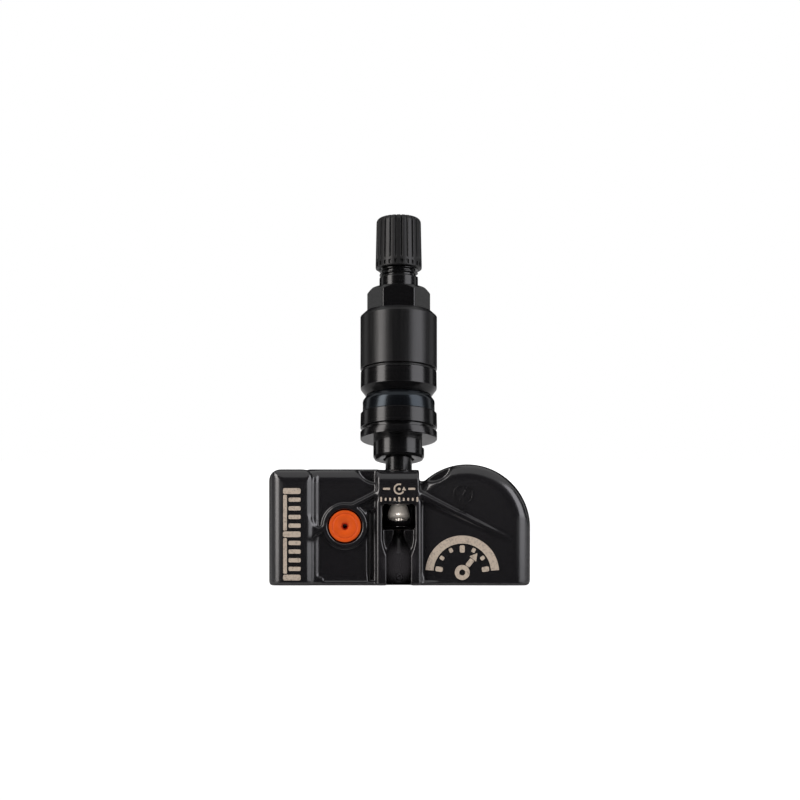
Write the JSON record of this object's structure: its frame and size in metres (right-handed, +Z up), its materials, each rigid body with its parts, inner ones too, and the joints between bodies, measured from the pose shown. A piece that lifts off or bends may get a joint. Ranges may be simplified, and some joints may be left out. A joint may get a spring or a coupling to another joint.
{
  "type": "tyre pressure sensor",
  "caption": "Wheel-mounted tyre pressure sensor: moulded housing with a pressure port and a leaning clamp-in metal valve with grommet, union nut and cap.",
  "frame": {"origin": "on the base plane the housing stands on, below the swivel axis of the valve, at the mouth of the driver channel", "axes": "+Z up from the base along the housing's height, +X to the right as seen from the front with the port and the screw channel, +Y away from the viewer towards the potted back; the valve leans from +Z towards +Y by 13 degrees"},
  "size_m": [0.0519, 0.0272, 0.0741],
  "materials": {
    "housing_plastic": "satin",
    "orange_silicone": "matt",
    "membrane_white": "matt",
    "potting_resin": "glossy",
    "board_green": "satin",
    "chip_black": "matt",
    "coil_copper": "glossy",
    "tin_plate": "satin",
    "capacitor_tan": "satin",
    "screw_steel": "bright",
    "black_anodised": "satin anodised",
    "grommet_rubber": "satin",
    "cap_plastic": "matt",
    "seal_rubber": "matt",
    "core_brass": "bright"
  },
  "bodies": {
    "sensor": {"housing": "housing_plastic", "port_insert": "orange_silicone", "port_membrane": "membrane_white", "potting": "potting_resin", "circuit_board": "board_green", "sensor_chip": "chip_black", "antenna_coil": "coil_copper", "crystal": "tin_plate", "capacitor": "capacitor_tan", "battery_cell": "tin_plate", "battery_tab_plus": "tin_plate", "battery_tab_minus": "tin_plate"},
    "valve": {"valve_stem": "black_anodised", "grommet": "grommet_rubber", "retaining_screw": "screw_steel", "core_barrel": "core_brass", "core_seal": "membrane_white", "core_spring": "tin_plate"},
    "ring": {"clamp_ring": "black_anodised"},
    "nut": {"union_nut": "black_anodised"},
    "cap_carrier": {"cap_seal": "seal_rubber"},
    "cap": {"valve_cap": "cap_plastic"},
    "pin": {"core_pin": "core_brass", "core_cup": "seal_rubber"}
  },
  "joints": [
    {"name": "valve_swivel", "type": "hinge", "parent": "sensor", "child": "valve", "pos_m": [0, 0, 0.0092], "axis": [-1, 0, 0], "range_deg": [-12, 12]},
    {"name": "ring_lift", "type": "slide", "parent": "valve", "child": "ring", "axis": [0, 0.225, 0.9744], "range_m": [0, 0.00339]},
    {"name": "nut_turn", "type": "hinge", "parent": "ring", "child": "nut", "pos_m": [0, 0.009, 0.04817], "axis": [0, 0.225, 0.9744], "range_deg": [0, 1540]},
    {"name": "cap_lift", "type": "slide", "parent": "valve", "child": "cap_carrier", "axis": [0, 0.225, 0.9744], "range_m": [0, 0.00793]},
    {"name": "cap_turn", "type": "hinge", "parent": "cap_carrier", "child": "cap", "pos_m": [0, 0.0135, 0.06766], "axis": [0, 0.225, 0.9744], "range_deg": [0, 3600]},
    {"name": "pin_press", "type": "slide", "parent": "valve", "child": "pin", "axis": [0, -0.225, -0.9744], "range_m": [0, 0.0012], "stiffness_N_per_m": 800, "springref_m": -0.002, "deforming": ["core_spring"]}
  ],
  "couplings": [
    {"joint": "nut_turn", "follows": "ring_lift", "rad_per_m": 7913.3},
    {"joint": "cap_turn", "follows": "cap_lift", "rad_per_m": 7913.3}
  ]
}
